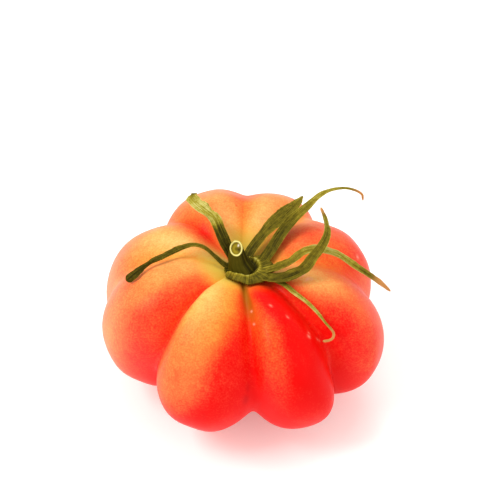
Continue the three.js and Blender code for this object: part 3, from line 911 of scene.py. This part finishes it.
STEM_RINGS = np.array(
    [  # x, y, height above the foot, half width across, half width along
        (0.3, -3.2, 0, 4.4, 4.2),
        (0.1, -3.0, 0.9, 3.9, 3.8),
        (-0.9, -2.4, 3.2, 3.2, 3.2),
        (-1.35, -1.4, 7.0, 2.2, 2.8),
    ]
)
STEM_SIDES, STEM_ROWS = 96, 70
CUT_SLANT = np.radians(35)
CUT_FACE = np.array(
    [  # share of the way from the middle of the cut to its edge, and how far it is sunk
        (0.1, 0.75),
        (0.3, 0.7),
        (0.5, 0.62),
        (0.66, 0.6),
        (0.74, 0.5),
        (0.8, 0.06),
        (0.88, -0.03),
        (0.96, 0.0),
    ]
)
FLUTES = [(6, 0.5, 0.035), (11, 0.0, 0.02)]  # ridges round the stalk, phase, share of its radius
FLUTES_START = (0.0, 0.3)
RIB, RIB_SHADOW = (-24, 6), (-38, 8)  # a painted highlight down a rib of the stalk, and the painted shadow beside it
STALK_TONE, RIB_TONE, SHADOW_SHARE, SHADE = 0.26, 0.28, 0.8, 0.25
PITH_HOLLOW, PITH_GLINT = (0.4, -0.1), (0.35, 0.42)  # painted shade of a hollow, and a painted glint of a wet spot, on the cut
HOLLOW_RADIUS, GLINT_RADIUS, BARK_START = 0.3, 0.12, 0.9  # all as shares of the cut's radius

up = np.linspace(1, 0, STEM_ROWS)
angle = np.arange(STEM_SIDES) * 2 * np.pi / STEM_SIDES
heights = STEM_RINGS[:, 2]
rings = np.stack([np.interp(up * heights[-1], heights, column) for column in STEM_RINGS.T], -1)


def stalk_rows(rings, lean, share=1.0, sunk=0.0):
    """Oval rows of the stalk: cos(angle) times the half width across, and sin(angle) times the half
    width along, tilted by the lean about the x axis. A share draws a row in towards its middle, and
    sunk lowers it along its own tilted axis."""
    x, y, height, across, along = (column[:, None] for column in rings.T)
    forward = along * share * np.sin(angle)
    x = STEM_AXIS[0] + x + across * share * np.cos(angle)
    y = STEM_AXIS[1] + y + forward * np.cos(lean) + sunk * np.sin(lean)
    z = SEAT_HEIGHT + CLEARANCE + height + forward * np.sin(lean) - sunk * np.cos(lean)
    return np.stack([x, y, z], -1)


flutes = sum(size * np.cos(count * angle + phase) for count, phase, size in FLUTES)
flutes = 1 + flutes * smooth(1 - up, *FLUTES_START)[:, None]
side_rows = stalk_rows(rings, CUT_SLANT * up[:, None])
middle = side_rows.mean(1, keepdims=True)
side_rows = middle + (side_rows - middle) * flutes[..., None]
cut_share, sunk = CUT_FACE.T[..., None]
cut_rows = stalk_rows(rings[:1], CUT_SLANT, cut_share, sunk)
stem_grid = np.concatenate([cut_rows, side_rows])

# The cut's radius is a share below 1 on the cut face and just above 1 all the way down the side.
SIDE_RADIUS = 1.02
radius = np.concatenate([cut_share, SIDE_RADIUS + 0 * up[:, None]]) + 0 * angle
beside = np.stack([radius * np.cos(angle), radius * np.sin(angle)], -1)
hollow = hump(np.linalg.norm(beside - PITH_HOLLOW, axis=-1), 0, HOLLOW_RADIUS) * (radius < BARK_START)
glint = hump(np.linalg.norm(beside - PITH_GLINT, axis=-1), 0, GLINT_RADIUS) * (radius < BARK_START)
degrees = np.degrees(angle)
# painted light on the stalk: a highlight down the rib, the shadow beside it, and the shaded right side
pale_rib = RIB_TONE * (near(degrees, *RIB) - SHADOW_SHARE * near(degrees, *RIB_SHADOW))
shaded_right = SHADE * smooth(np.cos(angle + 0.1), 0.75, 1)
stem = closed_skin(
    "stem_stub",
    stem_grid,
    cut_rows[0].mean(0),
    side_rows[-1].mean(0),
    cut=radius,
    tone=STALK_TONE + pale_rib - shaded_right + 0 * radius,
    hollow=hollow,
    glint=glint,
    length=0.7 * np.concatenate([1 + 0 * cut_share, up[:, None]]) + 0 * angle,
    across=2 * np.sin(angle) + 0 * radius,
)
bark, tree, shader = new_material("stem_green")
streaks, blotches = plant_grain(tree)
tone = sum_node(tree, field(tree, "tone"), range_node(tree, streaks, (0.3, 0.7), (-0.15, 0.15)))
greens = ramp_node(tree, tone, [(0.0, "#2a2502"), (0.3, "#494105"), (0.6, "#665b14"), (1.0, "#9a8d42")])
uneven = range_node(tree, blotches, (0.3, 0.7), (-0.06, 0.06))
pith_and_rim = ramp_node(
    tree,
    sum_node(tree, field(tree, "cut"), uneven),
    [
        (0.0, "#5e5008"),
        (0.35, "#95821c"),
        (0.7, "#7a6a14"),
        (0.8, "#efe492"),
        (0.93, "#dccf74"),
        (1.0, "#8b7c2a"),
    ],
)
# painted light on the cut: shade in the pith's hollow, and a glint
face = mix_colour(tree, field(tree, "hollow"), pith_and_rim, "#33280a")
face = mix_colour(tree, field(tree, "glint"), face, "#fff8e8")
on_side = range_node(tree, field(tree, "cut"), (0.99, 1.01), (0.0, 1.0))
tree.links.new(mix_colour(tree, on_side, face, greens), shader.inputs["Base Color"])
shader.inputs["Roughness"].default_value = 0.6
shader.inputs["IOR"].default_value = 1.15
roughen(tree, shader, streaks, 0.4, 0.0003)
stem.data.materials.append(bark)
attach(stem, "root")
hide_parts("stem")

# The floor, the light and the camera: a plain pale floor that runs out of view, soft light from three
# panels and a pale surround, and the photograph's viewing angle. Sizes are in metres.

bpy.ops.mesh.primitive_plane_add(size=6, location=(0, 0, 0))
floor = bpy.context.object
floor.name = "floor"
paper, tree, shader = new_material("pale_floor")
shader.inputs["Base Color"].default_value = rgb("#f4f1ee")
shader.inputs["Roughness"].default_value = 0.55
shader.inputs["Emission Color"].default_value = rgb("#fffaf6")
shader.inputs["Emission Strength"].default_value = 0.25
floor.data.materials.append(paper)

world = bpy.data.worlds.new("studio")
world.use_nodes = True
surround = world.node_tree.nodes["Background"]
surround.inputs["Color"].default_value = (1.0, 0.985, 0.97, 1.0)
surround.inputs["Strength"].default_value = 0.78
bpy.context.scene.world = world

LIT_PLACE = np.array([0, 0, 0.03])
PANELS = [  # name, place, side, watts
    ("panel_left", (-0.55, -0.15, 0.75), 0.4, 5.0),
    ("panel_above", (0.1, 0.35, 0.95), 0.6, 3.0),
    ("panel_right", (0.75, -0.35, 0.45), 0.6, 1.0),
]
for name, place, side, watts in PANELS:
    data = bpy.data.lights.new(name, "AREA")
    data.size = side
    data.energy = watts
    panel = bpy.data.objects.new(name, data)
    panel.location = place
    towards = LIT_PLACE - place
    tilt = np.arctan2(np.hypot(towards[0], towards[1]), -towards[2])
    panel.rotation_euler = (tilt, 0, np.arctan2(towards[0], -towards[1]) + np.pi)
    bpy.context.scene.collection.objects.link(panel)

ELEVATION, DISTANCE = np.radians(41), 0.408
TARGET = np.array([0.00143, -0.00105, 0.0553])
FOCAL_PIXELS, FRAME_PIXELS, SENSOR_MM = 1224.6, 500, 36
lens = bpy.data.cameras.new("camera")
lens.sensor_width = SENSOR_MM
lens.lens = SENSOR_MM * FOCAL_PIXELS / FRAME_PIXELS
lens.clip_start = 0.01
camera = bpy.data.objects.new("camera", lens)
camera.location = TARGET + DISTANCE * np.array([0, -np.cos(ELEVATION), np.sin(ELEVATION)])
camera.rotation_euler = (np.pi / 2 - ELEVATION, 0, 0)
bpy.context.scene.collection.objects.link(camera)
bpy.context.scene.camera = camera
bpy.context.scene.view_settings.view_transform = "Standard"
